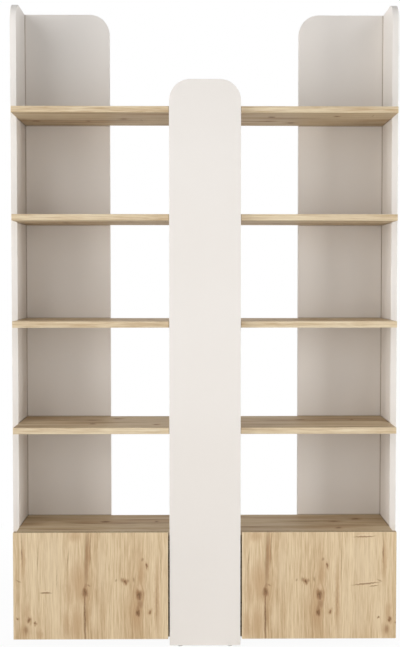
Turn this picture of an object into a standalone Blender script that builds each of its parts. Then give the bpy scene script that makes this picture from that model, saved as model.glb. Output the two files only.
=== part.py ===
"""Free-standing bookcase: open shelves between two L-shaped corners, over a cabinet with two hinged doors.

Metres, +Z up, front facing -Y, origin on the floor under the middle of the bookcase.
"""

import math

import bmesh
import bpy
from mathutils import Euler, Vector

# Boards
PANEL_THICKNESS = 0.018
SHELF_THICKNESS = 0.018
CABINET_THICKNESS = 0.018
DOOR_THICKNESS = 0.018
EDGE_ROUNDING = 0.0006
FIT_GAP = 0.0003

# Widths and depths
INNER_WIDTH = 1.094
SHELF_DEPTH = 0.261
SIDE_SETBACK = 0.101
BACK_OPENING = 0.578
FRONT_PANEL_WIDTH = 0.202

# Heights above the floor
PANEL_TOP = 1.853
FRONT_PANEL_TOP = 1.608
FIRST_SHELF_TOP = 0.625
SHELF_PITCH = 0.3035
SHELF_COUNT = 4
CABINET_TOP = 0.317
CABINET_UNDERSIDE = 0.0225
CABINET_BACK_DROP = 0.004

# Rounded panel corners
SIDE_CORNER = 0.050
BACK_CORNER = 0.060
FRONT_PANEL_CORNER = 0.060

# Doors
DOOR_GAP = 0.003
DOOR_LIP = 0.012
DOOR_SIDE_INSET = 0.0015
DOOR_PANEL_GAP = 0.004

# Concealed hinges
HINGE_SPACING = 0.150
CUP_DIAMETER = 0.035
CUP_EDGE = 0.003
CUP_FLOOR = 0.0008
CUP_WALL = 0.0006
FLANGE_THICKNESS = 0.001
FLANGE_RIM = 0.0008
EAR_SPACING = 0.048
EAR_OFFSET = 0.006
EAR_DIAMETER = 0.010
PIVOT_DEPTH = 0.0105
SWING_CLEARANCE = 0.0003
PIN_DIAMETER = 0.0022
PIN_CLEARANCE = 0.0002
EYE_WALL = 0.0008
POCKET_CLEARANCE = 0.0006
ARM_WIDTH = 0.011
ARM_THICKNESS = 0.002
ARM_BEND = 0.001
ARM_CLEARANCE = 0.0025
ARM_LENGTH = 0.058
PLATE_START = 0.024
PLATE_END = 0.062
PLATE_WIDTH = 0.016
WING_PLACE = 0.037
WING_SPACING = 0.032
WING_DIAMETER = 0.014
SCREW_PLACE = 0.048
SCREW_DIAMETER = 0.004
SCREW_HEAD_DIAMETER = 0.007
SCREW_HEAD_HEIGHT = 0.0016

# Door bumpers and floor glides
BUMPER_DIAMETER = 0.008
BUMPER_INSET = 0.025
BUMPER_DOME = 0.0006
GLIDE_HEIGHT = 0.003
GLIDE_DIAMETER = 0.015
GLIDE_CHAMFER = 0.001
GLIDE_STEM_DIAMETER = 0.006
GLIDE_STEM_LENGTH = 0.010
GLIDE_INSET = 0.030

# Facets
CORNER_STEPS = 14
BEND_STEPS = 4
TURN_STEPS = 24
CUP_STEPS = 48
EYE_STEPS = 20
SHARP_ANGLE = math.radians(35)
CUTTER_REACH = 0.002
WELD_DISTANCE = 1e-7

# Places worked out from the sizes above
FRONT_LAYER = max(DOOR_THICKNESS + DOOR_GAP, PANEL_THICKNESS + FIT_GAP)
SHELF_FRONT = FRONT_LAYER - (FRONT_LAYER + SHELF_DEPTH + PANEL_THICKNESS) / 2
BACK_FRONT = SHELF_FRONT + SHELF_DEPTH
SHELF_REAR = BACK_FRONT - FIT_GAP
REAR = BACK_FRONT + PANEL_THICKNESS
SIDE_FRONT = SHELF_FRONT + SIDE_SETBACK
INNER_X = INNER_WIDTH / 2
OUTER_X = INNER_X + PANEL_THICKNESS
BOARD_END = INNER_X - FIT_GAP
PANEL_BOTTOM = GLIDE_HEIGHT + FIT_GAP
CABINET_CEILING = CABINET_TOP - CABINET_THICKNESS
CABINET_FLOOR = CABINET_UNDERSIDE + CABINET_THICKNESS
CABINET_SIDE_INNER = BOARD_END - CABINET_THICKNESS

DOOR_BACK = SHELF_FRONT - DOOR_GAP
DOOR_FRONT = DOOR_BACK - DOOR_THICKNESS
DOOR_OUTER_X = INNER_X - DOOR_SIDE_INSET
DOOR_INNER_X = FRONT_PANEL_WIDTH / 2 + DOOR_PANEL_GAP
DOOR_BOTTOM = CABINET_UNDERSIDE
DOOR_TOP = CABINET_TOP + DOOR_LIP
DOOR_MIDDLE = (DOOR_BOTTOM + DOOR_TOP) / 2

# The pivot lies as far in as lets the door's back corner swing past the cabinet's front edges
SWING_RADIUS = PIVOT_DEPTH + DOOR_GAP - SWING_CLEARANCE
PIVOT_INSET = math.sqrt(SWING_RADIUS**2 - PIVOT_DEPTH**2)
PIVOT_X = DOOR_OUTER_X - PIVOT_INSET
PIVOT_Y = DOOR_BACK - PIVOT_DEPTH

# Hinge places, measured from the pivot: inwards along X and back along Y
CUP_RADIUS = CUP_DIAMETER / 2
CUP_CENTRE = CUP_EDGE + CUP_RADIUS - PIVOT_INSET
EYE_RADIUS = PIN_DIAMETER / 2 + PIN_CLEARANCE + EYE_WALL
POCKET_FLOOR = -EYE_RADIUS - POCKET_CLEARANCE
CUP_UNDERSIDE = POCKET_FLOOR - CUP_FLOOR
POCKET_HALF_WIDTH = ARM_WIDTH / 2 + POCKET_CLEARANCE
POCKET_HALF_LENGTH = math.sqrt((CUP_RADIUS - CUP_WALL) ** 2 - POCKET_HALF_WIDTH**2)
FLANGE_UNDERSIDE = PIVOT_DEPTH + FIT_GAP
FLANGE_TOP = FLANGE_UNDERSIDE + FLANGE_THICKNESS
ARM_REACH = FLANGE_TOP + ARM_CLEARANCE
CABINET_FRONT = PIVOT_DEPTH + DOOR_GAP
ARM_END = CABINET_FRONT + ARM_LENGTH
PLATE_SEAT = PIVOT_X - CABINET_SIDE_INNER + FIT_GAP
PLATE_FACE = ARM_REACH - FIT_GAP
SCREW_SEAT = ARM_REACH + ARM_THICKNESS + FIT_GAP


def clear_scene():
    for item in list(bpy.data.objects):
        bpy.data.objects.remove(item, do_unlink=True)


def make_material(name, color, roughness, metallic=0.0):
    made = bpy.data.materials.new(name)
    made.use_nodes = True
    shader = made.node_tree.nodes["Principled BSDF"]
    shader.inputs["Base Color"].default_value = (*color, 1.0)
    shader.inputs["Roughness"].default_value = roughness
    shader.inputs["Metallic"].default_value = metallic
    return made


def mesh_of(shape, name):
    """Turns a bmesh into a mesh, smooth where its faces meet at a shallow angle."""
    bmesh.ops.recalc_face_normals(shape, faces=shape.faces)
    mesh = bpy.data.meshes.new(name)
    shape.to_mesh(mesh)
    shape.free()
    mesh.shade_smooth()
    mesh.set_sharp_from_angle(angle=SHARP_ANGLE)
    return mesh


def place(name, mesh, material, location=(0, 0, 0), turn=0.0, parent=None):
    """Adds a mesh to the scene as a named piece, turned about the upright Y line through its location."""
    mesh.materials.clear()
    mesh.materials.append(material)
    piece = bpy.data.objects.new(name, mesh)
    piece.location = location
    piece.rotation_euler = (0, turn, 0)
    piece.parent = parent
    bpy.context.scene.collection.objects.link(piece)
    return piece


def rounded_outline(corners, steps):
    """A closed outline through corners (x, y, radius), with an arc at each corner whose radius isn't zero."""
    points = []
    for index, (x, y, radius) in enumerate(corners):
        here = Vector((x, y))
        if radius == 0:
            points.append(here)
            continue
        back = (Vector(corners[index - 1][:2]) - here).normalized()
        ahead = (Vector(corners[(index + 1) % len(corners)][:2]) - here).normalized()
        half = back.angle(ahead) / 2
        centre = here + (back + ahead).normalized() * radius / math.sin(half)
        first = here + back * radius / math.tan(half) - centre
        last = here + ahead * radius / math.tan(half) - centre
        start = math.atan2(first.y, first.x)
        sweep = math.atan2(last.y, last.x) - start
        sweep = (sweep + math.pi) % math.tau - math.pi
        for step in range(steps + 1):
            angle = start + sweep * step / steps
            points.append(centre + radius * Vector((math.cos(angle), math.sin(angle))))
    return points


def rectangle(low, high):
    return [Vector(low), Vector((high[0], low[1])), Vector(high), Vector((low[0], high[1]))]


def circle(centre, radius, steps):
    turns = [math.tau * step / steps for step in range(steps)]
    return [Vector(centre) + radius * Vector((math.cos(turn), math.sin(turn))) for turn in turns]


def prism(outline, along, start, end):
    """Extrudes an outline along X, Y or Z; its points are the other two coordinates, in that order."""
    depth = "XYZ".index(along)
    across = [axis for axis in range(3) if axis != depth]
    shape = bmesh.new()
    corners = []
    for point in outline:
        corner = Vector((0, 0, 0))
        corner[across[0]] = point[0]
        corner[across[1]] = point[1]
        corner[depth] = start
        corners.append(shape.verts.new(corner))
    grown = bmesh.ops.extrude_face_region(shape, geom=[shape.faces.new(corners)])
    moved = [item for item in grown["geom"] if isinstance(item, bmesh.types.BMVert)]
    step = Vector((0, 0, 0))
    step[depth] = end - start
    bmesh.ops.translate(shape, vec=step, verts=moved)
    bmesh.ops.recalc_face_normals(shape, faces=shape.faces)
    return shape


def round_edges(shape):
    sharp = [edge for edge in shape.edges if edge.calc_face_angle() > SHARP_ANGLE]
    bmesh.ops.bevel(shape, geom=sharp, offset=EDGE_ROUNDING, segments=1, affect="EDGES")
    return shape


def turned(profile, along="Z"):
    """Spins a profile of (radius, height) points, which starts and ends on the axis, into a solid."""
    shape = bmesh.new()
    rings = [shape.verts.new((radius, 0, height)) for radius, height in profile]
    lines = [shape.edges.new(pair) for pair in zip(rings, rings[1:])]
    bmesh.ops.spin(
        shape, geom=rings + lines, cent=(0, 0, 0), axis=(0, 0, 1), angle=math.tau, steps=TURN_STEPS, use_merge=True
    )
    bmesh.ops.remove_doubles(shape, verts=shape.verts, dist=WELD_DISTANCE)
    quarter = math.pi / 2
    turns = {"X": (0, quarter, 0), "Y": (-quarter, 0, 0), "Z": (0, 0, 0)}
    bmesh.ops.rotate(shape, verts=shape.verts, cent=(0, 0, 0), matrix=Euler(turns[along]).to_matrix())
    return shape


def hull(outlines, along, start, end):
    """The solid wrapped tightly round several outlines, extruded along one axis."""
    shape = bmesh.new()
    for outline in outlines:
        part = prism(outline, along, start, end)
        mesh = mesh_of(part, "hull_part")
        shape.from_mesh(mesh)
        bpy.data.meshes.remove(mesh)
    bmesh.ops.delete(shape, geom=shape.faces, context="FACES_ONLY")
    bmesh.ops.delete(shape, geom=shape.edges, context="EDGES_FACES")
    wrapped = bmesh.ops.convex_hull(shape, input=shape.verts)
    inside = [item for item in wrapped["geom_interior"] if isinstance(item, bmesh.types.BMVert)]
    bmesh.ops.delete(shape, geom=inside, context="VERTS")
    bmesh.ops.dissolve_limit(shape, angle_limit=math.radians(1), verts=shape.verts, edges=shape.edges)
    return shape


def combine(base, others, operation):
    """The first shape with the others joined to it (UNION) or cut from it (DIFFERENCE)."""
    body = bpy.data.objects.new("body", mesh_of(base, "body"))
    helpers = [body]
    bpy.context.scene.collection.objects.link(body)
    for other in others:
        helper = bpy.data.objects.new("helper", mesh_of(other, "helper"))
        bpy.context.scene.collection.objects.link(helper)
        helpers.append(helper)
        change = body.modifiers.new("change", "BOOLEAN")
        change.operation = operation
        change.object = helper
    bpy.context.view_layer.update()
    evaluated = body.evaluated_get(bpy.context.evaluated_depsgraph_get())
    result = bmesh.new()
    result.from_mesh(evaluated.to_mesh())
    evaluated.to_mesh_clear()
    for helper in helpers:
        bpy.data.objects.remove(helper, do_unlink=True)
    return result


def box(low, high):
    return prism(rectangle(low[:2], high[:2]), "Z", low[2], high[2])


def board(low, high):
    return round_edges(box(low, high))


def glide_bore(x, y):
    """Cutter for the hole in a panel's bottom edge that takes a glide's stem."""
    outline = circle((x, y), GLIDE_STEM_DIAMETER / 2 + FIT_GAP, TURN_STEPS)
    return prism(outline, "Z", PANEL_BOTTOM - CUTTER_REACH, GLIDE_HEIGHT + GLIDE_STEM_LENGTH + FIT_GAP)


def glide_mesh():
    radius = GLIDE_DIAMETER / 2
    stem = GLIDE_STEM_DIAMETER / 2
    stem_top = GLIDE_HEIGHT + GLIDE_STEM_LENGTH
    profile = [
        (0, stem_top),
        (stem, stem_top),
        (stem, GLIDE_HEIGHT),
        (radius, GLIDE_HEIGHT),
        (radius, GLIDE_CHAMFER),
        (radius - GLIDE_CHAMFER, 0),
        (0, 0),
    ]
    return mesh_of(turned(profile), "glide")


def standing_panel(name, shape, glides, material, glide_material):
    """A panel that stands on glides, given as pairs of the glide's name and place."""
    bored = combine(round_edges(shape), [glide_bore(*spot) for _, spot in glides], "DIFFERENCE")
    place(name, mesh_of(bored, name), material)
    for glide_name, (x, y) in glides:
        place(glide_name, glide_mesh(), glide_material, location=(x, y, 0))


def side_panel(side, name, cream, plastic):
    outline = rounded_outline(
        [
            (SIDE_FRONT, PANEL_BOTTOM, 0),
            (REAR, PANEL_BOTTOM, 0),
            (REAR, PANEL_TOP, 0),
            (SIDE_FRONT, PANEL_TOP, SIDE_CORNER),
        ],
        CORNER_STEPS,
    )
    middle = side * (INNER_X + OUTER_X) / 2
    glides = [
        (f"{name}_side_front_glide", (middle, SIDE_FRONT + GLIDE_INSET)),
        (f"{name}_side_rear_glide", (middle, REAR - GLIDE_INSET)),
    ]
    shape = prism(outline, "X", side * INNER_X, side * OUTER_X)
    standing_panel(f"{name}_side_panel", shape, glides, cream, plastic)


def back_panel(side, name, cream, plastic):
    inner = side * BACK_OPENING / 2
    outer = side * BOARD_END
    outline = rounded_outline(
        [
            (inner, PANEL_BOTTOM, 0),
            (outer, PANEL_BOTTOM, 0),
            (outer, PANEL_TOP, 0),
            (inner, PANEL_TOP, BACK_CORNER),
        ],
        CORNER_STEPS,
    )
    middle = (BACK_FRONT + REAR) / 2
    glides = [(f"{name}_back_glide", (inner + side * GLIDE_INSET, middle))]
    shape = prism(outline, "Y", BACK_FRONT, REAR)
    standing_panel(f"{name}_back_panel", shape, glides, cream, plastic)


def front_panel(cream, plastic):
    half = FRONT_PANEL_WIDTH / 2
    back = SHELF_FRONT - FIT_GAP
    front = back - PANEL_THICKNESS
    outline = rounded_outline(
        [
            (-half, PANEL_BOTTOM, 0),
            (half, PANEL_BOTTOM, 0),
            (half, FRONT_PANEL_TOP, FRONT_PANEL_CORNER),
            (-half, FRONT_PANEL_TOP, FRONT_PANEL_CORNER),
        ],
        CORNER_STEPS,
    )
    middle = (front + back) / 2
    spot = half - GLIDE_INSET
    glides = [("front_panel_left_glide", (-spot, middle)), ("front_panel_right_glide", (spot, middle))]
    standing_panel("centre_front_panel", prism(outline, "Y", front, back), glides, cream, plastic)


def shelves(oak):
    for index in range(SHELF_COUNT):
        top = FIRST_SHELF_TOP + index * SHELF_PITCH
        low = (-BOARD_END, SHELF_FRONT, top - SHELF_THICKNESS)
        name = f"shelf_{index + 1}"
        place(name, mesh_of(board(low, (BOARD_END, SHELF_REAR, top)), name), oak)


def cabinet_box(oak):
    under_top = CABINET_CEILING - FIT_GAP
    bottom_end = CABINET_SIDE_INNER - FIT_GAP
    half_divider = CABINET_THICKNESS / 2
    back_end = BACK_OPENING / 2 - FIT_GAP
    boards = {
        "cabinet_top": ((-BOARD_END, SHELF_FRONT, CABINET_CEILING), (BOARD_END, SHELF_REAR, CABINET_TOP)),
        "cabinet_bottom": (
            (-bottom_end, SHELF_FRONT, CABINET_UNDERSIDE),
            (bottom_end, SHELF_REAR, CABINET_FLOOR),
        ),
        "cabinet_left_side": (
            (-BOARD_END, SHELF_FRONT, CABINET_UNDERSIDE),
            (-CABINET_SIDE_INNER, SHELF_REAR, under_top),
        ),
        "cabinet_right_side": (
            (CABINET_SIDE_INNER, SHELF_FRONT, CABINET_UNDERSIDE),
            (BOARD_END, SHELF_REAR, under_top),
        ),
        "cabinet_divider": (
            (-half_divider, SHELF_FRONT, CABINET_FLOOR + FIT_GAP),
            (half_divider, SHELF_REAR, under_top),
        ),
        "cabinet_back": (
            (-back_end, BACK_FRONT, CABINET_UNDERSIDE),
            (back_end, REAR, CABINET_TOP - CABINET_BACK_DROP),
        ),
    }
    for name, (low, high) in boards.items():
        place(name, mesh_of(board(low, high), name), oak)


def hinge_heights():
    return {"upper": DOOR_MIDDLE + HINGE_SPACING / 2, "lower": DOOR_MIDDLE - HINGE_SPACING / 2}


def door_mesh(side, axis):
    """A door with its two cup holes, measured from its hinge axis."""
    ends = sorted((side * DOOR_OUTER_X - axis.x, side * DOOR_INNER_X - axis.x))
    low = (ends[0], DOOR_FRONT - axis.y, DOOR_BOTTOM - axis.z)
    high = (ends[1], DOOR_BACK - axis.y, DOOR_TOP - axis.z)
    holes = []
    for height in hinge_heights().values():
        outline = circle((-side * CUP_CENTRE, height - axis.z), CUP_RADIUS + FIT_GAP, CUP_STEPS)
        holes.append(prism(outline, "Y", CUP_UNDERSIDE - FIT_GAP, PIVOT_DEPTH + CUTTER_REACH))
    return mesh_of(combine(board(low, high), holes, "DIFFERENCE"), "door")


def bumper_mesh():
    """A round pad whose face turns a little domed towards the cabinet."""
    radius = BUMPER_DIAMETER / 2
    face = DOOR_GAP - 2 * FIT_GAP
    profile = [(0, face), (radius - BUMPER_DOME, face), (radius, face - BUMPER_DOME), (radius, 0), (0, 0)]
    return mesh_of(turned(profile, "Y"), "bumper")


def cup_mesh():
    """The cup pressed into the door: a round body with winged flange, a pocket for the arm and a pin bore."""
    body = prism(circle((CUP_CENTRE, 0), CUP_RADIUS, CUP_STEPS), "Y", CUP_UNDERSIDE, FLANGE_TOP - FLANGE_THICKNESS / 2)
    ears = [
        circle((CUP_CENTRE + EAR_OFFSET, sign * EAR_SPACING / 2), EAR_DIAMETER / 2, TURN_STEPS) for sign in (-1, 1)
    ]
    rim = circle((CUP_CENTRE, 0), CUP_RADIUS + FIT_GAP + FLANGE_RIM, CUP_STEPS)
    flange = hull([rim, *ears], "Y", FLANGE_UNDERSIDE, FLANGE_TOP)
    pocket = box(
        (CUP_CENTRE - POCKET_HALF_LENGTH, POCKET_FLOOR, -POCKET_HALF_WIDTH),
        (CUP_CENTRE + POCKET_HALF_LENGTH, FLANGE_TOP + CUTTER_REACH, POCKET_HALF_WIDTH),
    )
    bore = prism(circle((0, 0), PIN_DIAMETER / 2 + PIN_CLEARANCE, TURN_STEPS), "Z", -CUP_RADIUS, CUP_RADIUS)
    return mesh_of(combine(combine(body, [flange], "UNION"), [pocket, bore], "DIFFERENCE"), "hinge_cup")


def pin_mesh():
    """The hinge pin, as long as the round cup is wide at the pin's outer side."""
    radius = PIN_DIAMETER / 2
    half = math.sqrt(CUP_RADIUS**2 - (CUP_CENTRE + radius) ** 2) - FIT_GAP
    return mesh_of(turned([(0, half), (radius, half), (radius, -half), (0, -half)]), "hinge_pin")


def screw_hole(start, end, distance):
    outline = circle((distance, 0), SCREW_DIAMETER / 2 + FIT_GAP, TURN_STEPS)
    return prism(outline, "X", start - CUTTER_REACH, end + CUTTER_REACH)


def arm_mesh():
    """The bent steel arm: an eye round the pin, a crank out of the cup and a leg along the mounting plate."""
    half = ARM_THICKNESS / 2
    opening = math.asin(half / EYE_RADIUS)
    sweep = math.tau - 2 * opening
    eye = [opening + sweep * step / EYE_STEPS for step in range(EYE_STEPS + 1)]
    far = ARM_REACH + ARM_THICKNESS
    crank = rounded_outline(
        [
            (0, -half, 0),
            (far, -half, ARM_BEND + ARM_THICKNESS),
            (far, ARM_END, 0),
            (ARM_REACH, ARM_END, 0),
            (ARM_REACH, half, ARM_BEND),
            (0, half, 0),
        ],
        BEND_STEPS,
    )
    outline = crank[1:-1] + [EYE_RADIUS * Vector((math.cos(turn), math.sin(turn))) for turn in eye]
    body = prism(outline, "Z", -ARM_WIDTH / 2, ARM_WIDTH / 2)
    pin_hole = prism(circle((0, 0), PIN_DIAMETER / 2 + PIN_CLEARANCE, TURN_STEPS), "Z", -ARM_WIDTH, ARM_WIDTH)
    cuts = [pin_hole, screw_hole(ARM_REACH, far, CABINET_FRONT + SCREW_PLACE)]
    return mesh_of(combine(body, cuts, "DIFFERENCE"), "hinge_arm")


def plate_mesh():
    """The winged mounting plate between the cabinet side and the arm."""
    middle = CABINET_FRONT + WING_PLACE
    ends = ((CABINET_FRONT + PLATE_START, -PLATE_WIDTH / 2), (CABINET_FRONT + PLATE_END, PLATE_WIDTH / 2))
    wings = [circle((middle, sign * WING_SPACING / 2), WING_DIAMETER / 2, TURN_STEPS) for sign in (-1, 1)]
    rail = prism(rectangle(*ends), "X", PLATE_SEAT, PLATE_FACE)
    wing = hull(wings, "X", PLATE_SEAT, (PLATE_SEAT + PLATE_FACE) / 2)
    hole = screw_hole(PLATE_SEAT, PLATE_FACE, CABINET_FRONT + SCREW_PLACE)
    return mesh_of(combine(combine(rail, [wing], "UNION"), [hole], "DIFFERENCE"), "hinge_plate")


def screw_mesh():
    """The pan-head screw that holds the arm on its plate."""
    head = SCREW_HEAD_DIAMETER / 2
    shank = SCREW_DIAMETER / 2
    crown = SCREW_SEAT + SCREW_HEAD_HEIGHT
    shoulder = crown - SCREW_HEAD_HEIGHT / 2
    profile = [(0, crown), (head / 2, crown), (head, shoulder), (head, SCREW_SEAT)]
    profile += [(shank, SCREW_SEAT), (shank, PLATE_SEAT), (0, PLATE_SEAT)]
    shape = turned(profile, "X")
    bmesh.ops.translate(shape, vec=(0, CABINET_FRONT + SCREW_PLACE, 0), verts=shape.verts)
    return mesh_of(shape, "hinge_screw")


def hinged_door(side, name, oak, steel, plastic, hinge_meshes):
    """A door, what rides on it and what carries it; the right side is the left one turned half round."""
    axis = Vector((side * PIVOT_X, PIVOT_Y, DOOR_MIDDLE))
    pivot = bpy.data.objects.new(f"{name}_door_axis", None)
    pivot.location = axis
    bpy.context.scene.collection.objects.link(pivot)
    place(f"{name}_door", door_mesh(side, axis), oak, parent=pivot)

    turn = math.pi if side > 0 else 0.0
    for level, height in hinge_heights().items():
        hinge = f"{name}_{level}_hinge"
        spot = Vector((axis.x, axis.y, height))
        for piece in ("cup", "pin"):
            place(f"{hinge}_{piece}", hinge_meshes[piece], steel, spot - axis, turn, pivot)
        for piece in ("arm", "plate", "screw"):
            place(f"{hinge}_{piece}", hinge_meshes[piece], steel, spot, turn)

    bumper_x = side * (DOOR_INNER_X + BUMPER_INSET)
    edges = {"upper": CABINET_TOP - CABINET_THICKNESS / 2, "lower": CABINET_FLOOR - CABINET_THICKNESS / 2}
    for level, height in edges.items():
        spot = Vector((bumper_x, DOOR_BACK + FIT_GAP, height))
        place(f"{name}_door_{level}_bumper", bumper_mesh(), plastic, spot - axis, parent=pivot)


def main():
    clear_scene()
    cream = make_material("cream_laminate", (0.84, 0.80, 0.75), 0.5)
    oak = make_material("oak_laminate", (0.62, 0.46, 0.28), 0.5)
    steel = make_material("nickel_steel", (0.62, 0.61, 0.59), 0.3, 1.0)
    plastic = make_material("white_plastic", (0.80, 0.80, 0.78), 0.4)

    for side, name in ((-1, "left"), (1, "right")):
        side_panel(side, name, cream, plastic)
        back_panel(side, name, cream, plastic)
    front_panel(cream, plastic)
    shelves(oak)
    cabinet_box(oak)

    hinge_meshes = {
        "cup": cup_mesh(),
        "pin": pin_mesh(),
        "arm": arm_mesh(),
        "plate": plate_mesh(),
        "screw": screw_mesh(),
    }
    for side, name in ((-1, "left"), (1, "right")):
        hinged_door(side, name, oak, steel, plastic, hinge_meshes)


main()
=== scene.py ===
"""A bookcase with doors: the finish of every surface, the small fasteners, the studio and the camera."""

import itertools
import math
from collections import namedtuple

import bmesh
import bpy
from mathutils import Color, Euler, Matrix, Vector


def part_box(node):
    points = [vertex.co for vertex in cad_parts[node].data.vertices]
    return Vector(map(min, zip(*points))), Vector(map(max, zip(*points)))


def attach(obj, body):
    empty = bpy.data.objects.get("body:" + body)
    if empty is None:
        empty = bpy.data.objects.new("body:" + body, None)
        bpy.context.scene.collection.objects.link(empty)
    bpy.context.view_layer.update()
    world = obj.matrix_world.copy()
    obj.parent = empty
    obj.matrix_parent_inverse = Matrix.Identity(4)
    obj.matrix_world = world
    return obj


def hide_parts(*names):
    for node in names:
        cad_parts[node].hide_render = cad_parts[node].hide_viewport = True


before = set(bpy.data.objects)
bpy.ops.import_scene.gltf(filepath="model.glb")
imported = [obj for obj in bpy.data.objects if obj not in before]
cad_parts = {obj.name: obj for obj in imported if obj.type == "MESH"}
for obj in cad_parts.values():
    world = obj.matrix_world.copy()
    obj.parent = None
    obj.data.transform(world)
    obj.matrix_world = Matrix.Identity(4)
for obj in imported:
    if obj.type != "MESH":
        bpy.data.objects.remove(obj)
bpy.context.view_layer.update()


def srgb(red, green, blue):
    """A colour as a screen shows it, 0 to 255, as the linear light that a shader takes."""
    shown = Color([level / 255 for level in (red, green, blue)])
    return (*shown.from_srgb_to_scene_linear(), 1.0)


# Camera, from the photograph's perspective, in the 400 by 647 frame
IMAGE_WIDTH = 400
IMAGE_HEIGHT = 647
VIEW_CENTRE_X = 207.3
VIEW_CENTRE_Y = 321.2
FOCAL_PIXELS = 1065.2
SENSOR_MILLIMETRES = 36.0
CAMERA_PLACE = Vector((-0.0253, -3.1510, 1.0472))
CAMERA_YAW = 0.01055
CAMERA_PITCH = 0.03912

# Studio: lamps beside, before, above and behind the object, and soft light from all round
Lamp = namedtuple("Lamp", "name place target wide tall watts")
LAMPS = [
    Lamp("left_softbox", (-7.2, -2.4, 2.0), (0.0, 0.0, 0.9), 4.8, 3.6, 115.7),
    Lamp("left_low_softbox", (-7.2, -2.4, 0.9), (0.0, 0.0, 0.9), 4.8, 1.7, 82.8),
    Lamp("front_left_fill", (-2.4, -3.6, 1.5), (0.0, 0.0, 0.9), 2.3, 2.3, 11.9),
    Lamp("right_front_near", (1.4, -2.2, 1.3), (-0.3, 0.1, 1.0), 0.8, 1.6, 2.7),
    Lamp("centre_strip", (0.0, -1.2, 0.95), (0.0, 0.0, 0.95), 0.3, 2.4, 4.5),
    Lamp("left_near_strip", (-1.7, -0.9, 0.7), (-0.4, -0.1, 0.7), 0.4, 1.8, 7.7),
    Lamp("right_near_strip", (1.7, -0.9, 0.7), (0.4, -0.1, 0.7), 0.4, 1.8, 11.9),
    Lamp("left_top_fill", (-1.3, -1.0, 2.3), (0.45, 0.05, 1.7), 0.8, 0.8, 6.7),
    Lamp("right_top_fill", (1.3, -1.0, 2.3), (-0.45, 0.05, 1.7), 0.8, 0.8, 2.5),
    Lamp("right_high_side", (1.8, -0.25, 2.5), (-0.55, 0.05, 1.7), 0.6, 0.6, 6.0),
    Lamp("rear_left_softbox", (-2.2, 2.6, 0.95), (0.0, 0.1, 0.95), 1.4, 1.4, 8.9),
    Lamp("rear_right_softbox", (2.2, 2.6, 0.95), (0.0, 0.1, 0.95), 1.4, 1.4, 20.8),
    Lamp("rear_right_fill", (3.0, 1.7, 0.95), (0.0, 0.1, 0.95), 1.4, 1.4, 14.8),
    Lamp("rear_high_fill", (0.0, 1.8, 2.6), (0.0, 0.1, 1.2), 1.2, 1.2, 7.4),
]
WORLD_STRENGTH = 0.20
WORLD_COLOUR = (0.96, 0.99, 1.06, 1.0)
FLOOR_SIZE = 24.0
FLOOR_COLOUR = (0.85, 0.83, 0.80, 1.0)
FLOOR_WHITE_NEAR = 0.95
FLOOR_ROUGHNESS = 0.9
FLOOR_GLOSS = 0.1
FLOOR_NEAR = 0.5
FLOOR_FAR = 1.6

# Colours of the finishes
CREAM = srgb(239, 234, 228)
CREAM_SHADE = srgb(236, 230, 223)
CREAM_EDGE = srgb(243, 239, 234)
OAK_PALE = srgb(233, 213, 179)
OAK_LIGHT = srgb(222, 199, 163)
OAK_MIDDLE = srgb(208, 182, 145)
OAK_BROWN = srgb(186, 154, 115)
OAK_STAIN = srgb(188, 152, 113)
OAK_KNOT = srgb(146, 108, 74)
OAK_DARK = srgb(92, 64, 42)
# Painted shade, darkening the oak in the corners where boards meet
OAK_CORNER_SHADE = srgb(122, 99, 71)
# A painted highlight: the pale line along the oak's arrises
OAK_ARRIS_HIGHLIGHT = srgb(243, 226, 196)
# Painted shade, darkening the cream in the corners where boards meet
CREAM_CORNER_SHADE = srgb(190, 178, 163)
NICKEL = srgb(226, 223, 217)
NICKEL_SHADE = srgb(204, 200, 192)
ZINC = srgb(206, 208, 210)
ZINC_SHADE = srgb(172, 174, 176)
PLASTIC = srgb(226, 224, 219)
PLASTIC_SHADE = srgb(200, 197, 190)
PAD = srgb(232, 232, 228)
PAD_SHADE = srgb(212, 212, 206)

# Textures: waves to the metre, bumps as strength and depth, steps as start and end and the values there
NOISE_MIDDLE = 0.5
LAMINATE_GLOSS = 0.2
ARRIS = 0.0012
ARRIS_SAMPLES = 4
ARRIS_STEP = (0.999, 0.93)
# The reach, samples and step of the painted shade in corners
CORNER_SHADE_REACH = 0.005
CORNER_SHADE_SAMPLES = 8
CORNER_SHADE_STEP = (0.95, 0.5)
CREAM_CLOUD_WAVES = 2.5
CREAM_PEARL_WAVES = 900.0
CREAM_RUB_WAVES = 60.0
CREAM_PEARL_SHARE = 0.6
CREAM_TONE_STEP = (0.45, 1.15)
CREAM_ROUGHNESS_STEP = (0.3, 0.7, 0.56, 0.66)
CREAM_BUMP = (0.12, 0.0002)
METAL_DRAWN_WAVES = (150.0, 150.0, 1800.0)
METAL_CLOUD_WAVES = 120.0
METAL_DRAWN_SHARE = 0.5
METAL_TONE_STEP = (0.45, 1.05)
METAL_CLOUD_STEP = (0.3, 0.7)
METAL_BUMP = (0.06, 0.00005)
NICKEL_ROUGHNESS = (0.22, 0.36)
ZINC_ROUGHNESS = (0.35, 0.5)
PLASTIC_SKIN_WAVES = 2600.0
PLASTIC_SCUFF_WAVES = (90.0, 700.0, 250.0)
PLASTIC_SKIN_SHARE = 0.4
PLASTIC_TONE_STEP = (0.45, 0.95)
PLASTIC_SCUFF_STEP = (0.35, 0.65)
PLASTIC_BUMP = (0.2, 0.0001)
PLASTIC_ROUGHNESS = (0.52, 0.4)
PAD_ROUGHNESS = (0.42, 0.3)
PAD_CLEARNESS = 0.35

# The places of the colour sockets on a Mix node
MIX_FIRST = 6
MIX_SECOND = 7
MIX_RESULT = 2


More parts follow.
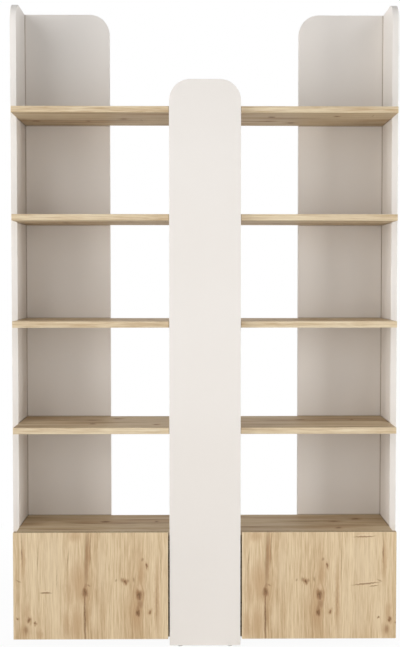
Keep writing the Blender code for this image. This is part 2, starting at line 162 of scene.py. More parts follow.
class Look:
    """One procedural material: a Principled surface and short calls for the nodes that feed it."""

    def __init__(self, name):
        self.material = bpy.data.materials.new(name)
        self.material.use_nodes = True
        self.tree = self.material.node_tree
        self.surface = self.tree.nodes["Principled BSDF"]
        self.spot = self.new("ShaderNodeTexCoord")
        self.place = self.spot.outputs["Object"]

    def new(self, kind, **settings):
        node = self.tree.nodes.new(kind)
        for name, value in settings.items():
            setattr(node, name, value)
        return node

    def feed(self, socket, value):
        """Links a socket to another node's output, or sets it to a plain value."""
        if isinstance(value, bpy.types.NodeSocket):
            self.tree.links.new(value, socket)
        else:
            socket.default_value = value

    def paint(self, **values):
        """Feeds the surface's own sockets, named as Blender does with _ for each space."""
        for name, value in values.items():
            self.feed(self.surface.inputs[name.replace("_", " ")], value)

    def math(self, operation, *values):
        node = self.new("ShaderNodeMath", operation=operation)
        for socket, value in zip(node.inputs, values):
            self.feed(socket, value)
        return node.outputs[0]

    def vector(self, operation, *values):
        node = self.new("ShaderNodeVectorMath", operation=operation)
        for socket, value in zip(node.inputs, values):
            self.feed(socket, value)
        return node.outputs["Value" if operation in ("LENGTH", "DOT_PRODUCT") else "Vector"]

    def parts(self, vector):
        node = self.new("ShaderNodeSeparateXYZ")
        self.feed(node.inputs[0], vector)
        return list(node.outputs)

    def join(self, *values):
        node = self.new("ShaderNodeCombineXYZ")
        for socket, value in zip(node.inputs, values):
            self.feed(socket, value)
        return node.outputs[0]

    def noise(self, place, per_metre, detail=2.0, roughness=0.5, output="Fac"):
        """Soft noise with so many waves to the metre along each axis."""
        node = self.new("ShaderNodeTexNoise")
        self.feed(node.inputs["Vector"], self.vector("MULTIPLY", place, per_metre))
        self.feed(node.inputs["Scale"], 1.0)
        self.feed(node.inputs["Detail"], detail)
        self.feed(node.inputs["Roughness"], roughness)
        return node.outputs[output]

    def step(self, value, start, end, low=0.0, high=1.0):
        """Goes smoothly from low to high as the value goes from start to end."""
        node = self.new("ShaderNodeMapRange", interpolation_type="SMOOTHSTEP")
        sockets = ("Value", "From Min", "From Max", "To Min", "To Max")
        for name, given in zip(sockets, (value, start, end, low, high)):
            self.feed(node.inputs[name], given)
        return node.outputs[0]

    def ramp(self, value, stops):
        node = self.new("ShaderNodeValToRGB")
        self.feed(node.inputs[0], value)
        marks = node.color_ramp.elements
        while len(marks) < len(stops):
            marks.new(0.5)
        for mark, (position, colour) in zip(marks, stops):
            mark.position = position
            mark.color = colour
        return node.outputs["Color"]

    def mix(self, share, first, second):
        node = self.new("ShaderNodeMix", data_type="RGBA")
        self.feed(node.inputs[0], share)
        self.feed(node.inputs[MIX_FIRST], first)
        self.feed(node.inputs[MIX_SECOND], second)
        return node.outputs[MIX_RESULT]

    def bump(self, height, strength, depth):
        node = self.new("ShaderNodeBump")
        self.feed(node.inputs["Strength"], strength)
        self.feed(node.inputs["Distance"], depth)
        self.feed(node.inputs["Height"], height)
        return node.outputs["Normal"]

    def edges(self, radius):
        """1 on the object's arrises and 0 on its flats."""
        bevel = self.new("ShaderNodeBevel", samples=ARRIS_SAMPLES)
        self.feed(bevel.inputs["Radius"], radius)
        flat = self.new("ShaderNodeNewGeometry").outputs["Normal"]
        return self.step(self.vector("DOT_PRODUCT", bevel.outputs[0], flat), *ARRIS_STEP)

    def corner_shade(self, reach):
        """Painted shade: 1 in the narrow corners where boards meet and 0 in the open, found by ambient
        occlusion.
        """
        node = self.new("ShaderNodeAmbientOcclusion", samples=CORNER_SHADE_SAMPLES)
        self.feed(node.inputs["Distance"], reach)
        return self.step(node.outputs["AO"], *CORNER_SHADE_STEP)


def even(value):
    """The same value along all three axes."""
    return (value, value, value)


def cream_look():
    """Satin cream laminate: a faint cloud in the colour, a fine pearl texture and softly rubbed arrises."""
    look = Look("cream_laminate")
    cloud = look.noise(look.place, even(CREAM_CLOUD_WAVES), detail=3.0)
    pearl = look.noise(look.place, even(CREAM_PEARL_WAVES))
    tone = look.math("MULTIPLY_ADD", pearl, CREAM_PEARL_SHARE, cloud)
    colour = look.mix(look.step(tone, *CREAM_TONE_STEP), CREAM_SHADE, CREAM)
    worn = look.noise(look.place, even(CREAM_RUB_WAVES), detail=3.0)
    colour = look.mix(look.math("MULTIPLY", look.edges(ARRIS), worn), colour, CREAM_EDGE)
    look.paint(
        # Painted shade: the base colour darkens in the corners where boards meet
        Base_Color=look.mix(look.corner_shade(CORNER_SHADE_REACH), colour, CREAM_CORNER_SHADE),
        Roughness=look.step(pearl, *CREAM_ROUGHNESS_STEP),
        Specular_IOR_Level=LAMINATE_GLOSS,
        Normal=look.bump(pearl, *CREAM_BUMP),
    )
    return look.material


# The oak print. A mark is an ellipse on it, in metres across and along the grain, leaning by an angle.
Mark = namedtuple("Mark", "across along half_wide half_long lean")
Print = namedtuple("Print", "axes shift board_step length face edge knots cracks faint stains pale flakes")

# Which of X, Y and Z run across, through and along the boards
DOOR_AXES = (0, 1, 2)
LEVEL_AXES = (1, 2, 0)
UPRIGHT_AXES = (1, 0, 2)
CABINET_BACK_AXES = (2, 1, 0)

# The doors share one print that comes again every half metre or so, with the grain upright
PRINT_REPEAT = 0.514
PRINT_OVERLAP = 0.08
DOOR_LENGTH = 0.6
DOOR_KNOTS = [
    Mark(0.2035, 0.156, 0.0070, 0.0130, 0.0),
    Mark(0.3795, 0.233, 0.0026, 0.0060, 0.1),
    Mark(0.3175, 0.188, 0.0045, 0.0050, 0.3),
    Mark(0.3585, 0.150, 0.0085, 0.0130, 0.0),
    Mark(0.3550, 0.098, 0.0062, 0.0090, 0.2),
    Mark(0.3885, 0.099, 0.0032, 0.0050, -0.3),
    Mark(0.0440, 0.077, 0.0044, 0.0062, 0.2),
    Mark(0.0630, 0.069, 0.0022, 0.0028, 0.6),
    Mark(0.0120, 0.083, 0.0026, 0.0020, 0.0),
]
DOOR_CRACKS = [
    Mark(0.2034, 0.080, 0.0020, 0.0900, 0.01),
    Mark(0.0250, 0.268, 0.0012, 0.0150, 0.02),
]
DOOR_FAINT = [
    Mark(0.3675, 0.252, 0.0040, 0.0060, -0.3),
    Mark(0.3100, 0.193, 0.0050, 0.0080, 0.2),
    Mark(0.3260, 0.190, 0.0040, 0.0060, -0.2),
    Mark(0.2925, 0.192, 0.0030, 0.0050, -0.2),
    Mark(0.3430, 0.193, 0.0025, 0.0080, 0.1),
    Mark(0.2145, 0.178, 0.0060, 0.0030, -0.5),
    Mark(0.2055, 0.176, 0.0036, 0.0150, -0.10),
    Mark(0.3610, 0.124, 0.0090, 0.0150, 0.1),
    Mark(0.3550, 0.108, 0.0050, 0.0200, 0.0),
    Mark(0.0155, 0.190, 0.0090, 0.0025, -0.5),
    Mark(0.0360, 0.050, 0.0070, 0.0130, 0.0),
    Mark(0.2080, 0.255, 0.0068, 0.1050, -0.03),
    Mark(0.2034, 0.080, 0.0042, 0.0950, 0.01),
    Mark(0.2190, 0.280, 0.0022, 0.0700, -0.03),
    Mark(0.0255, 0.280, 0.0016, 0.0600, 0.02),
    Mark(0.1555, 0.252, 0.0014, 0.0360, -0.12),
    Mark(0.0700, 0.250, 0.0014, 0.0420, 0.0),
    Mark(0.1240, 0.200, 0.0012, 0.0360, 0.0),
    Mark(0.4080, 0.130, 0.0016, 0.0700, 0.0),
    Mark(0.4200, 0.240, 0.0014, 0.0600, 0.0),
]
DOOR_STAINS = [
    Mark(0.2125, 0.262, 0.0095, 0.1050, -0.03),
    Mark(0.1850, 0.190, 0.0330, 0.0900, 0.0),
    Mark(0.1800, 0.060, 0.0250, 0.0900, 0.0),
    Mark(0.3520, 0.095, 0.0240, 0.0850, 0.0),
    Mark(0.3640, 0.210, 0.0150, 0.0800, 0.0),
    Mark(0.0330, 0.045, 0.0220, 0.0360, 0.0),
    Mark(0.0280, 0.250, 0.0100, 0.0900, 0.0),
    Mark(0.1570, 0.160, 0.0150, 0.0600, 0.0),
    Mark(0.4080, 0.140, 0.0110, 0.1600, 0.0),
    Mark(0.1760, 0.320, 0.0260, 0.0280, 0.0),
    Mark(0.1500, 0.060, 0.0120, 0.0600, 0.0),
    Mark(0.0740, 0.035, 0.0140, 0.0260, 0.0),
    Mark(0.0400, 0.095, 0.0130, 0.0500, 0.0),
]
DOOR_PALE = [
    Mark(0.1120, 0.250, 0.0420, 0.1500, 0.0),
    Mark(0.2500, 0.230, 0.0220, 0.1500, 0.0),
    Mark(0.4850, 0.230, 0.0400, 0.1600, 0.0),
    Mark(0.1030, 0.200, 0.0120, 0.1700, 0.0),
    Mark(0.2330, 0.085, 0.0240, 0.0850, 0.0),
    Mark(0.4720, 0.085, 0.0300, 0.1000, 0.0),
    Mark(0.4690, 0.250, 0.0220, 0.1200, 0.0),
    Mark(0.0110, 0.090, 0.0100, 0.0550, 0.0),
    Mark(0.3585, 0.171, 0.0090, 0.0080, 0.0),
    Mark(0.3600, 0.135, 0.0060, 0.0040, 0.0),
]
DOOR_FLAKES = [
    Mark(0.0925, 0.1565, 0.0135, 0.0024, 0.0),
    Mark(0.4845, 0.316, 0.0260, 0.0018, 0.03),
    Mark(0.4900, 0.1805, 0.0320, 0.0020, 0.10),
    Mark(0.5130, 0.174, 0.0110, 0.0012, 0.12),
]

# The boards' print, with the grain along X and a fresh stretch of it on each board
BOARD_KNOTS = [
    Mark(0.038, 0.446, 0.0090, 0.0120, 0.0),
    Mark(-0.004, 0.710, 0.0080, 0.0090, 0.1),
    Mark(0.039, 1.135, 0.0070, 0.0150, 0.0),
    Mark(0.070, 1.205, 0.0080, 0.0110, -0.1),
    Mark(-0.060, 0.018, 0.0070, 0.0060, 0.0),
    Mark(-0.042, 1.140, 0.0090, 0.0070, 0.2),
    Mark(0.042, 0.600, 0.0070, 0.0060, 0.0),
    Mark(-0.095, 0.880, 0.0060, 0.0090, 0.1),
]
BOARD_CRACKS = [
    Mark(0.022, 0.700, 0.0030, 0.1200, 0.01),
    Mark(0.041, 1.060, 0.0026, 0.0800, -0.01),
    Mark(-0.095, 0.260, 0.0026, 0.1100, 0.02),
]
BOARD_FAINT = [
    Mark(0.022, 0.640, 0.0080, 0.1800, 0.02),
    Mark(0.041, 1.080, 0.0070, 0.1100, -0.03),
    Mark(-0.012, 1.190, 0.0080, 0.1100, 0.03),
    Mark(0.068, 0.575, 0.0070, 0.0900, -0.03),
    Mark(0.022, 0.380, 0.0090, 0.0700, 0.12),
    Mark(0.020, 0.515, 0.0090, 0.0700, -0.10),
    Mark(-0.060, 0.330, 0.0080, 0.1300, 0.05),
    Mark(-0.090, 0.960, 0.0080, 0.1500, -0.04),
    Mark(0.100, 0.850, 0.0070, 0.1400, 0.02),
    Mark(-0.030, 0.870, 0.0060, 0.1100, 0.04),
    Mark(0.095, 0.170, 0.0080, 0.1200, -0.03),
    Mark(-0.110, 0.590, 0.0070, 0.1300, 0.0),
]
BOARD_STAINS = [
    Mark(0.050, 0.600, 0.0300, 0.2500, 0.02),
    Mark(-0.030, 1.120, 0.0300, 0.1700, -0.03),
    Mark(0.035, 0.430, 0.0280, 0.1500, 0.04),
    Mark(-0.090, 0.850, 0.0250, 0.2500, 0.0),
    Mark(0.090, 1.000, 0.0240, 0.2000, -0.02),
    Mark(0.010, 0.190, 0.0300, 0.1700, 0.03),
]
BOARD_PALE = [
    Mark(-0.080, 0.500, 0.0300, 0.2600, 0.02),
    Mark(0.105, 0.320, 0.0240, 0.2000, 0.0),
    Mark(-0.065, 0.970, 0.0220, 0.2000, 0.03),
    Mark(0.000, 0.960, 0.0220, 0.1500, -0.03),
    Mark(0.090, 0.720, 0.0200, 0.2000, 0.0),
    Mark(-0.020, 0.300, 0.0180, 0.2000, 0.02),
]
BOARD_FLAKES = [
    Mark(0.020, 0.760, 0.0120, 0.0016, 0.15),
    Mark(-0.070, 0.120, 0.0120, 0.0016, -0.1),
]
BOARD_LENGTH = 1.31
BOARD_STEP = 2.35
# Painted shade and light: the boards' broad faces tinted darker and their edges paler and bluer
BOARD_FACE_PAINTED_SHADE = (0.775, 0.775, 0.775, 1.0)
BOARD_EDGE_PAINTED_LIGHT = (1.0, 1.05, 1.12, 1.0)
DOOR_FACE = (1.0, 1.0, 1.0, 1.0)
# Painted shade: the doors' edges are tinted darker than their fronts
DOOR_EDGE_PAINTED_SHADE = (0.62, 0.60, 0.57, 1.0)

# How the grain runs and how the marks lie on it. Distances from a mark are in its half sizes.
MARK_REACH = 3.2
BEND_STEP = (0.0, 0.75, 0.0, 0.6)
RAGGED_WAVES = (150.0, 150.0, 60.0)
WILD_SHIFT = (0.012, 0.022, 0.0)
CALM_SHIFT = (0.004, 0.005, 0.0)
WANDER_WAVES = (9.0, 9.0, 4.0)
SWAY_STEP = (0.4, 0.8, 0.003, 0.014)
SIDE_ON_STEP = (0.8, 0.4)
BAND_WAVES = (18.0, 18.0, 1.4)
LINE_WAVES = (130.0, 130.0, 2.4)
LINE_ROUGHNESS = 0.65
PORE_WAVES = (400.0, 400.0, 16.0)
PORE_ROUGHNESS = 0.6
SPECK_WAVES = (420.0, 260.0, 1.0)
BAND_SHARE = 0.75
PORE_SHARE = 1.3
GRAIN_STOPS = [(0.12, OAK_BROWN), (0.40, OAK_MIDDLE), (0.60, OAK_LIGHT), (0.88, OAK_PALE)]
PALE_STEP = (1.0, 0.1, 0.0, 0.5)
FLAKE_LIGHT_RISE = 0.0045
FLAKE_LIGHT_STEP = (1.2, 0.4, 0.0, 0.7)
STAIN_STEP = (1.0, 0.15, 0.0, 0.6)
KNOT_HALO_STEP = (3.0, 0.9, 0.0, 0.6)
FAINT_STEP = (1.3, 0.2, 0.0, 0.55)
BROWN_STEP = (1.6, 0.6, 0.0, 0.75)
CORE_STEP = (1.0, 0.2)
CORE_LINE_STEP = (0.62, 0.4, 0.25, 0.8)
CORE_SPECK_STEP = (0.42, 0.58, 0.35, 1.0)
# How strong the painted highlight along the oak's arrises is
ARRIS_HIGHLIGHT_SHARE = 0.5
OAK_ROUGHNESS_STEP = (0.3, 0.7, 0.66, 0.54)
OAK_BUMP = (0.2, 0.0004)


def nearness(look, mark, place):
    """1 in a mark's middle, falling evenly to 0 at MARK_REACH times its half sizes."""
    spot = look.new("ShaderNodeMapping", vector_type="TEXTURE")
    look.feed(spot.inputs["Vector"], place)
    look.feed(spot.inputs["Location"], (mark.across, mark.along, 0.0))
    look.feed(spot.inputs["Rotation"], (0.0, 0.0, mark.lean))
    look.feed(spot.inputs["Scale"], (mark.half_wide * MARK_REACH, mark.half_long * MARK_REACH, 1.0))
    ball = look.new("ShaderNodeTexGradient", gradient_type="SPHERICAL")
    look.feed(ball.inputs["Vector"], spot.outputs[0])
    return ball.outputs["Fac"]


def distance(look, marks, place):
    """How far a point is from the closest mark, where 1 is that mark's rim, and MARK_REACH at most."""
    closest = nearness(look, marks[0], place)
    for mark in marks[1:]:
        closest = look.math("MAXIMUM", closest, nearness(look, mark, place))
    return look.math("MULTIPLY_ADD", closest, -MARK_REACH, MARK_REACH)


def bent_grain(look, knots, across, flat):
    """The place across the grain, with the grain pushed aside as it runs round the knots."""
    bent = across
    for mark in knots:
        fade = look.step(nearness(look, mark, flat), *BEND_STEP)
        aside = look.math("SUBTRACT", across, mark.across)
        bent = look.math("SUBTRACT", bent, look.math("MULTIPLY", aside, fade))
    return bent


def oak_look(name, given):
    """Oak laminate with the given print: banded grain that bends round its knots, and its other marks."""
    look = Look(name)
    sides = look.parts(look.place)
    across, depth, along = (sides[axis] for axis in given.axes)
    height = sides[2]
    across = look.math("ADD", across, given.shift)
    along = look.math("MULTIPLY_ADD", height, given.board_step, along)
    flat = look.join(across, look.math("WRAP", along, given.length, 0.0), 0.0)
    solid = look.join(across, depth, along)
    torn = look.noise(solid, RAGGED_WAVES, detail=3.0, output="Color")
    ragged = look.vector("SUBTRACT", torn, even(NOISE_MIDDLE))
    wild = look.vector("ADD", flat, look.vector("MULTIPLY", ragged, WILD_SHIFT))
    calm = look.vector("ADD", flat, look.vector("MULTIPLY", ragged, CALM_SHIFT))
    facing = look.math("ABSOLUTE", look.parts(look.spot.outputs["Normal"])[given.axes[1]])
    wander = look.math("SUBTRACT", look.noise(solid, WANDER_WAVES), NOISE_MIDDLE)
    sway = look.step(facing, *SWAY_STEP)
    bent = look.math("MULTIPLY_ADD", wander, sway, bent_grain(look, given.knots, across, flat))
    colour, line = grain_colour(look, look.join(bent, depth, along))
    colour = marked_colour(look, colour, given, wild, calm, line)
    # Painted shade and light: faces and edges get their own tints, darker or paler by which way they face
    side_on = look.step(facing, *SIDE_ON_STEP)
    colour = look.vector("MULTIPLY", colour, look.mix(side_on, given.face, given.edge))
    # Painted highlight: a pale line along every arris of the oak
    colour = look.mix(look.math("MULTIPLY", look.edges(ARRIS), ARRIS_HIGHLIGHT_SHARE), colour, OAK_ARRIS_HIGHLIGHT)
    look.paint(
        # Painted shade: the base colour darkens in the corners where boards meet
        Base_Color=look.mix(look.corner_shade(CORNER_SHADE_REACH), colour, OAK_CORNER_SHADE),
        Roughness=look.step(line, *OAK_ROUGHNESS_STEP),
        Specular_IOR_Level=LAMINATE_GLOSS,
        Normal=look.bump(look.noise(solid, PORE_WAVES, detail=3.0), *OAK_BUMP),
    )
    return look.material


def grain_colour(look, grain):
    """The plain grain: broad bands, lines and fine pores, as a colour, and its lines alone."""
    band = look.noise(grain, BAND_WAVES)
    line = look.noise(grain, LINE_WAVES, detail=4.0, roughness=LINE_ROUGHNESS)
    pore = look.noise(grain, PORE_WAVES, detail=3.0, roughness=PORE_ROUGHNESS)
    tone = look.math("MULTIPLY_ADD", look.math("SUBTRACT", band, NOISE_MIDDLE), BAND_SHARE, line)
    tone = look.math("MULTIPLY_ADD", look.math("SUBTRACT", pore, NOISE_MIDDLE), PORE_SHARE, tone)
    return look.ramp(tone, GRAIN_STOPS), line


def marked_colour(look, colour, given, wild, calm, line):
    """The grain's colour with the print's pale zones, stains, knots, cracks and flakes laid over it."""
    raised = [mark._replace(along=mark.along + FLAKE_LIGHT_RISE) for mark in given.flakes]
    pale = look.step(distance(look, given.pale, wild), *PALE_STEP)
    pale = look.math("MAXIMUM", pale, look.step(distance(look, raised, calm), *FLAKE_LIGHT_STEP))
    colour = look.mix(pale, colour, OAK_PALE)
    knot = distance(look, given.knots, wild)
    dark = look.math("MINIMUM", knot, distance(look, given.cracks, calm))
    stain = look.step(distance(look, given.stains, wild), *STAIN_STEP)
    stain = look.math("MAXIMUM", stain, look.step(knot, *KNOT_HALO_STEP))
    colour = look.mix(stain, colour, OAK_STAIN)
    brown = look.step(distance(look, given.faint, calm), *FAINT_STEP)
    marked = look.math("MINIMUM", dark, distance(look, given.flakes, calm))
    brown = look.math("MAXIMUM", brown, look.step(marked, *BROWN_STEP))
    colour = look.mix(brown, colour, OAK_KNOT)
    speck = look.step(look.noise(wild, SPECK_WAVES), *CORE_SPECK_STEP)
    core = look.math("MULTIPLY", look.step(dark, *CORE_STEP), look.step(line, *CORE_LINE_STEP))
    core = look.math("MULTIPLY", core, speck)
    return look.mix(core, colour, OAK_DARK)


def metal_look(name, colour, shade, roughness):
    """Plated metal: drawn lines, a faint cloud and gloss that varies over the given roughness."""
    look = Look(name)
    drawn = look.noise(look.place, METAL_DRAWN_WAVES, detail=3.0)
    cloud = look.noise(look.place, even(METAL_CLOUD_WAVES), detail=3.0)
    tone = look.step(look.math("MULTIPLY_ADD", drawn, METAL_DRAWN_SHARE, cloud), *METAL_TONE_STEP)
    look.paint(
        Base_Color=look.mix(tone, shade, colour),
        Metallic=1.0,
        Roughness=look.step(cloud, *METAL_CLOUD_STEP, *roughness),
        Normal=look.bump(drawn, *METAL_BUMP),
    )
    return look.material


def plastic_look(name, colour, shade, roughness, clearness):
    """Moulded plastic: a fine spark-eroded skin and faint scuffs."""
    look = Look(name)
    skin = look.noise(look.place, even(PLASTIC_SKIN_WAVES))
    scuff = look.noise(look.place, PLASTIC_SCUFF_WAVES, detail=4.0)
    tone = look.step(look.math("MULTIPLY_ADD", skin, PLASTIC_SKIN_SHARE, scuff), *PLASTIC_TONE_STEP)
    look.paint(
        Base_Color=look.mix(tone, shade, colour),
        Roughness=look.step(scuff, *PLASTIC_SCUFF_STEP, *roughness),
        Transmission_Weight=clearness,
        Normal=look.bump(skin, *PLASTIC_BUMP),
    )
    return look.material


def repeated(marks):
    """The marks, with those at the start of the print given once more where it comes again."""
    first = [mark for mark in marks if mark.across < PRINT_OVERLAP]
    return marks + [mark._replace(across=mark.across + PRINT_REPEAT) for mark in first]


def door_print(shift):
    """The doors' print, moved across by the shift."""
    kinds = [DOOR_KNOTS, DOOR_CRACKS, DOOR_FAINT, DOOR_STAINS, DOOR_PALE, DOOR_FLAKES]
    marks = [repeated(kind) for kind in kinds]
    return Print(DOOR_AXES, shift, 0.0, DOOR_LENGTH, DOOR_FACE, DOOR_EDGE_PAINTED_SHADE, *marks)


def board_print(axes):
    """The boards' print, for boards with the given axes across, through and along them."""
    marks = [BOARD_KNOTS, BOARD_CRACKS, BOARD_FAINT, BOARD_STAINS, BOARD_PALE, BOARD_FLAKES]
    return Print(axes, 0.0, BOARD_STEP, BOARD_LENGTH, BOARD_FACE_PAINTED_SHADE, BOARD_EDGE_PAINTED_LIGHT, *marks)


def dress_nodes(looks):
    """Gives each CAD node its finish."""
    for name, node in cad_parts.items():
        slot = node.material_slots[0]
        key = name if name in looks else slot.material.name.split(".")[0]
        slot.material = looks[key]


def make_looks():
    """Every finish, by the slot that it fills or by the one node that has it."""
    left_edge = -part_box("left_door")[0].x
    looks = {
        "cream_laminate": cream_look(),
        "oak_laminate": oak_look("oak_boards", board_print(LEVEL_AXES)),
        "left_door": oak_look("oak_left_door", door_print(left_edge)),
        "right_door": oak_look("oak_right_door", door_print(left_edge - PRINT_REPEAT)),
        "cabinet_back": oak_look("oak_cabinet_back", board_print(CABINET_BACK_AXES)),
        "hinge_steel": metal_look("hinge_steel", NICKEL, NICKEL_SHADE, NICKEL_ROUGHNESS),
        "zinc": metal_look("zinc", ZINC, ZINC_SHADE, ZINC_ROUGHNESS),
        "white_plastic": plastic_look("white_plastic", PLASTIC, PLASTIC_SHADE, PLASTIC_ROUGHNESS, 0.0),
        "soft_pad": plastic_look("soft_pad", PAD, PAD_SHADE, PAD_ROUGHNESS, PAD_CLEARNESS),
    }
    uprights = oak_look("oak_uprights", board_print(UPRIGHT_AXES))
    for name in ("cabinet_left_side", "cabinet_right_side", "cabinet_divider"):
        looks[name] = uprights
    return looks


def link_to_scene(thing):
    bpy.context.scene.collection.objects.link(thing)
    return thing


# Fasteners: the turned heads, the recess that a driver fits and where each one sits
TURNED_SIDES = 28
SMOOTH_ANGLE = math.radians(35)
SCREW_HEAD = [(0.0, 0.0), (0.0035, 0.0), (0.0035, 0.0006), (0.0031, 0.0011),
              (0.0022, 0.0015), (0.0, 0.0016)]
SCREW_SHANK = [(0.0, -0.0075), (0.002, -0.0075), (0.002, 0.0)]
SCREW_CROSS = (0.0020, 0.0009, 0.0009, 0.0030)
CAM_DISC = [(0.0, 0.0), (0.0075, 0.0), (0.0075, 0.0003), (0.0072, 0.0005), (0.0066, 0.0005),
            (0.0064, 0.0004), (0.0060, 0.0004), (0.0058, 0.0005), (0.0, 0.0005)]
CAM_CROSS = (0.0042, 0.0014, 0.00015, 0.0020)
CAM_FROM_SIDE = 0.034
CAM_SIDE_PLACES = (0.005, 0.085)
CAM_BACK_LINE = 0.0977
CAM_BACK_PLACES = (0.34, 0.45)
CAM_FRONT_LINE = -0.095
CAM_FRONT_PLACE = 0.060
CAMS_BELOW = ("shelf_1", "shelf_2", "cabinet_top")
CAMS_ABOVE = ("shelf_3", "shelf_4")
HINGE_HEIGHTS = {"upper": 0.25075, "lower": 0.10075}
CUP_SCREW = (0.5190, -0.1307, 0.024)
PLATE_SCREW = (0.52595, -0.0920, 0.016)
ARM_SCREW = (0.5209, -0.0810)
CABINET_SCREW_DEPTHS = (-0.020, 0.100)
CABINET_SCREW_HEIGHTS = (0.075, 0.265)
SPIN_STEP = 0.7
WELD_DISTANCE = 1e-6


def as_mesh(name, made):
    bmesh.ops.recalc_face_normals(made, faces=made.faces)
    mesh = bpy.data.meshes.new(name)
    made.to_mesh(mesh)
    made.free()
    return mesh


def turned(profile):
    """A closed mesh turned about Z from (radius, height) points that start and end on the axis."""
    made = bmesh.new()
    points = [made.verts.new((radius, 0.0, height)) for radius, height in profile]
    lines = [made.edges.new(pair) for pair in zip(points, points[1:])]
    drawn = points + lines
    upright = (0, 0, 1)
    bmesh.ops.spin(made, geom=drawn, axis=upright, cent=(0, 0, 0), angle=math.tau, steps=TURNED_SIDES)
    bmesh.ops.remove_doubles(made, verts=made.verts, dist=WELD_DISTANCE)
    return as_mesh("turned", made)


def cross_prism(reach, width, low, high):
    """A plus-shaped prism along Z, which cuts the recess for a driver."""
    half = width / 2
    arm = [Vector((reach, -half)), Vector((reach, half)), Vector((half, half))]
    outline = [Matrix.Rotation(quarter * math.pi / 2, 2) @ point for quarter in range(4) for point in arm]
    made = bmesh.new()
    below = [made.verts.new((*point, low)) for point in outline]
    above = [made.verts.new((*point, high)) for point in outline]
    made.faces.new(below)
    made.faces.new(above)
    for corner in range(len(outline)):
        made.faces.new((below[corner - 1], below[corner], above[corner], above[corner - 1]))
    return as_mesh("cross", made)


def cut(body, tool):
    """The first mesh less the second."""
    thing = link_to_scene(bpy.data.objects.new("cut_body", body))
    knife = link_to_scene(bpy.data.objects.new("cut_tool", tool))
    change = thing.modifiers.new("cut", "BOOLEAN")
    change.operation = "DIFFERENCE"
    change.solver = "EXACT"
    change.object = knife
    made = bpy.data.meshes.new_from_object(thing.evaluated_get(bpy.context.evaluated_depsgraph_get()))
    bpy.data.objects.remove(thing)
    bpy.data.objects.remove(knife)
    return made


def placed(point, facing, spin):
    """Where a fastener sits: its seat on the point, its head towards facing, and turned by spin."""
    turn = Vector(facing).to_track_quat("Z", "Y").to_matrix().to_4x4()
    return Matrix.Translation(point) @ turn @ Matrix.Rotation(spin, 4, "Z")


def fasteners(name, pattern, places, body, look):
    """One piece with a copy of the pattern at each place, riding the body."""
    made = bmesh.new()
    for place in places:
        start = len(made.verts)
        made.from_mesh(pattern)
        made.verts.ensure_lookup_table()
        bmesh.ops.transform(made, matrix=place, verts=made.verts[start:])
    mesh = as_mesh(name, made)
    mesh.shade_smooth()
    mesh.set_sharp_from_angle(angle=SMOOTH_ANGLE)
    mesh.materials.append(look)
    piece = link_to_scene(bpy.data.objects.new(name, mesh))
    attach(piece, body)
    return piece


def cam_spots(side_end):
    """Where the cam fittings of a board sit: by its ends, its back and the front plank."""
    spots = [(end * (side_end - CAM_FROM_SIDE), depth) for end in (-1, 1) for depth in CAM_SIDE_PLACES]
    spots += [(end * place, CAM_BACK_LINE) for end in (-1, 1) for place in CAM_BACK_PLACES]
    return spots + [(end * CAM_FRONT_PLACE, CAM_FRONT_LINE) for end in (-1, 1)]


def add_cam_fittings(looks):
    """Zinc cam discs, on the faces of the boards that are turned away from the eye."""
    pattern = cut(turned(CAM_DISC), cross_prism(*CAM_CROSS))
    for board in CAMS_BELOW + CAMS_ABOVE:
        low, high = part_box(board)
        below = board in CAMS_BELOW
        height = low.z if below else high.z
        facing = (0, 0, -1) if below else (0, 0, 1)
        places = []
        for count, (across, depth) in enumerate(cam_spots(high.x)):
            places.append(placed((across, depth, height), facing, count * SPIN_STEP))
        fasteners(f"{board}_cam_fittings", pattern, places, "bookcase", looks["zinc"])


def screw_pair(spot, sign, height, facing):
    """Two screws, one below and one above the hinge's middle, by the spot's last value."""
    across, depth, apart = spot
    below = placed((sign * across, depth, height - apart), facing, 0.0)
    above = placed((sign * across, depth, height + apart), facing, height)
    return [below, above]


def add_hinge_screws(looks):
    """Cross-recess screws in each hinge's cup, plate and arm."""
    cross = cross_prism(*SCREW_CROSS)
    head = cut(turned(SCREW_HEAD), cross.copy())
    long_screw = cut(turned(SCREW_SHANK + SCREW_HEAD[1:]), cross)
    steel = looks["hinge_steel"]
    for side, sign in (("left", -1), ("right", 1)):
        for level, height in HINGE_HEIGHTS.items():
            hinge = f"{side}_{level}"
            inward = (-sign, 0, 0)
            cup_places = screw_pair(CUP_SCREW, sign, height, (0, 1, 0))
            plate_places = screw_pair(PLATE_SCREW, sign, height, inward)
            arm_place = placed((sign * ARM_SCREW[0], ARM_SCREW[1], height), inward, 0.0)
            fasteners(f"{hinge}_cup_screws", head, cup_places, f"{side}_door", steel)
            fasteners(f"{hinge}_plate_screws", head, plate_places, "bookcase", steel)
            screw = fasteners(f"{hinge}_arm_screw", long_screw, [arm_place], "bookcase", steel)
            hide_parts(f"{hinge}_hinge_screw")


def add_cabinet_screws(looks):
    """The screws that hold the cabinet's sides to the tall side panels."""
    head = cut(turned(SCREW_HEAD), cross_prism(*SCREW_CROSS))
    for side, sign in (("left", -1), ("right", 1)):
        low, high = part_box(f"cabinet_{side}_side")
        inner = high.x if sign < 0 else low.x
        spots = [(inner, *spot) for spot in itertools.product(CABINET_SCREW_DEPTHS, CABINET_SCREW_HEIGHTS)]
        places = [placed(spot, (-sign, 0, 0), count * SPIN_STEP) for count, spot in enumerate(spots)]
        fasteners(f"cabinet_{side}_side_screws", head, places, "bookcase", looks["hinge_steel"])


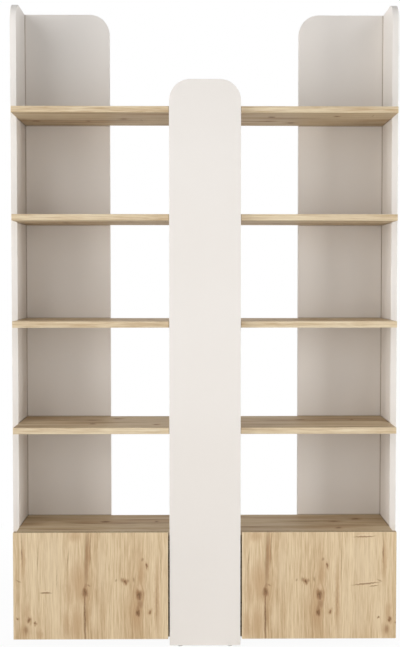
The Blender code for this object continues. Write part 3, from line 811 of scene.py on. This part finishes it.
def shown_white(tree, white_shader, lit_shader, share):
    """Mixes shaders so that the camera, and metal and glass, see the white one by that share."""
    rays = tree.nodes.new("ShaderNodeLightPath")
    seen = rays.outputs["Is Camera Ray"]
    for kind in ("Is Glossy Ray", "Is Transmission Ray"):
        either = tree.nodes.new("ShaderNodeMath")
        either.operation = "MAXIMUM"
        tree.links.new(seen, either.inputs[0])
        tree.links.new(rays.outputs[kind], either.inputs[1])
        seen = either.outputs[0]
    part = tree.nodes.new("ShaderNodeMath")
    part.operation = "MULTIPLY"
    tree.links.new(seen, part.inputs[0])
    if isinstance(share, bpy.types.NodeSocket):
        tree.links.new(share, part.inputs[1])
    else:
        part.inputs[1].default_value = share
    mix = tree.nodes.new("ShaderNodeMixShader")
    tree.links.new(part.outputs[0], mix.inputs[0])
    tree.links.new(lit_shader.outputs[0], mix.inputs[1])
    tree.links.new(white_shader.outputs[0], mix.inputs[2])
    return mix.outputs[0]


def build_world():
    world = bpy.data.worlds.new("studio")
    world.use_nodes = True
    tree = world.node_tree
    light = tree.nodes["Background"]
    light.inputs["Color"].default_value = WORLD_COLOUR
    light.inputs["Strength"].default_value = WORLD_STRENGTH
    white = tree.nodes.new("ShaderNodeBackground")
    white.inputs["Color"].default_value = (1.0, 1.0, 1.0, 1.0)
    white.inputs["Strength"].default_value = 1.0
    tree.links.new(shown_white(tree, white, light, 1.0), tree.nodes["World Output"].inputs["Surface"])
    bpy.context.scene.world = world


def build_floor():
    """A pale floor that keeps the object's shadow and goes over to white farther out."""
    mesh = bpy.data.meshes.new("floor")
    half = FLOOR_SIZE / 2
    corners = [(-half, -half, 0), (half, -half, 0), (half, half, 0), (-half, half, 0)]
    mesh.from_pydata(corners, [], [(0, 1, 2, 3)])
    look = Look("floor")
    look.paint(Base_Color=FLOOR_COLOUR, Roughness=FLOOR_ROUGHNESS, Specular_IOR_Level=FLOOR_GLOSS)
    far = look.step(look.vector("LENGTH", look.place), FLOOR_NEAR, FLOOR_FAR, FLOOR_WHITE_NEAR, 1.0)
    white = look.new("ShaderNodeEmission")
    white.inputs["Strength"].default_value = 1.0
    shown = shown_white(look.tree, white, look.surface, far)
    look.tree.links.new(shown, look.tree.nodes["Material Output"].inputs["Surface"])
    mesh.materials.append(look.material)
    link_to_scene(bpy.data.objects.new("floor", mesh))


def build_lamps():
    for given in LAMPS:
        lamp = bpy.data.lights.new(given.name, "AREA")
        lamp.shape = "RECTANGLE"
        lamp.size = given.wide
        lamp.size_y = given.tall
        lamp.energy = given.watts
        thing = link_to_scene(bpy.data.objects.new(given.name, lamp))
        thing.location = given.place
        aim = Vector(given.target) - Vector(given.place)
        thing.rotation_euler = aim.to_track_quat("-Z", "Y").to_euler()
        thing.visible_camera = False


def build_camera():
    camera = bpy.data.cameras.new("camera")
    camera.sensor_width = SENSOR_MILLIMETRES
    camera.lens = SENSOR_MILLIMETRES * FOCAL_PIXELS / IMAGE_HEIGHT
    camera.shift_x = (IMAGE_WIDTH / 2 - VIEW_CENTRE_X) / IMAGE_HEIGHT
    camera.shift_y = (VIEW_CENTRE_Y - IMAGE_HEIGHT / 2) / IMAGE_HEIGHT
    thing = link_to_scene(bpy.data.objects.new("camera", camera))
    thing.location = CAMERA_PLACE
    thing.rotation_euler = Euler((math.pi / 2 - CAMERA_PITCH, 0.0, -CAMERA_YAW))
    bpy.context.scene.camera = thing


looks = make_looks()
dress_nodes(looks)
add_cam_fittings(looks)
add_hinge_screws(looks)
add_cabinet_screws(looks)
build_world()
build_floor()
build_lamps()
build_camera()
bpy.context.scene.view_settings.view_transform = "Standard"
